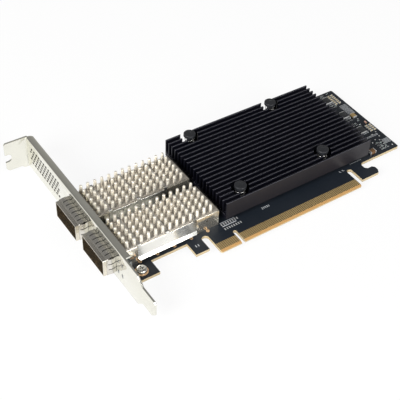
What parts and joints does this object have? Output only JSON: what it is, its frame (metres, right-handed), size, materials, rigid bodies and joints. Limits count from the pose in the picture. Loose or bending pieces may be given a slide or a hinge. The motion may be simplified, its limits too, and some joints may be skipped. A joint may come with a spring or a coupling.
{
  "type": "network interface card",
  "caption": "Low-profile plug-in network card on a full-height bracket, with caged transceiver ports, riding pin-fin heat sinks and a black finned heat sink over its controller.",
  "frame": {"origin": "middle of the edge connector's key slot at the contacts' free edge, on the board's component face", "axes": "+X along the board away from the bracket, +Y from the edge contacts to the board's top edge, +Z out of the component face"},
  "size_m": [0.1782, 0.12, 0.0184],
  "materials": {
    "board": "black solder mask over glass-fibre laminate",
    "edge_contacts": "gold plating",
    "copper_lands": "bare gilded copper",
    "bracket": "nickel-plated steel",
    "bracket_screws": "nickel-plated steel",
    "port_cage_1": "nickel silver sheet",
    "port_cage_2": "nickel silver sheet",
    "emi_collar_1": "tin-plated spring sheet",
    "emi_collar_2": "tin-plated spring sheet",
    "port_connector_1": "black glass-filled plastic",
    "port_connector_2": "black glass-filled plastic",
    "port_heatsink_1": "nickel-plated aluminium",
    "port_heatsink_2": "nickel-plated aluminium",
    "heatsink_clip_1": "stainless spring sheet",
    "heatsink_clip_2": "stainless spring sheet",
    "main_heatsink": "black anodised aluminium",
    "thermal_pad": "grey gap filler",
    "controller_chip": "package laminate",
    "chip_lid": "nickel-plated lid",
    "push_pins": "black nylon",
    "push_pin_springs": "spring steel",
    "tail_capacitors": "ceramic with tinned ends",
    "tail_resistors": "ceramic with tinned ends",
    "regulator_chips": "moulded package",
    "power_inductors": "pressed iron powder",
    "clock_oscillator": "gilded metal can",
    "polymer_capacitor": "moulded case",
    "board_led": "clear resin",
    "header_pads": "tinned copper",
    "underside_capacitors": "ceramic with tinned ends",
    "flash_chip": "moulded package",
    "light_pipe": "clear moulding"
  },
  "bodies": {
    "root": {"board": "board", "edge_contacts": "edge_contacts", "copper_lands": "copper_lands", "bracket": "bracket", "bracket_screws": "bracket_screws", "port_cage_1": "port_cage_1", "port_cage_2": "port_cage_2", "emi_collar_1": "emi_collar_1", "emi_collar_2": "emi_collar_2", "port_connector_1": "port_connector_1", "port_connector_2": "port_connector_2", "port_heatsink_1": "port_heatsink_1", "port_heatsink_2": "port_heatsink_2", "heatsink_clip_1": "heatsink_clip_1", "heatsink_clip_2": "heatsink_clip_2", "main_heatsink": "main_heatsink", "thermal_pad": "thermal_pad", "controller_chip": "controller_chip", "chip_lid": "chip_lid", "push_pins": "push_pins", "push_pin_springs": "push_pin_springs", "tail_capacitors": "tail_capacitors", "tail_resistors": "tail_resistors", "regulator_chips": "regulator_chips", "power_inductors": "power_inductors", "clock_oscillator": "clock_oscillator", "polymer_capacitor": "polymer_capacitor", "board_led": "board_led", "header_pads": "header_pads", "underside_capacitors": "underside_capacitors", "flash_chip": "flash_chip", "light_pipe": "light_pipe"}
  },
  "joints": []
}
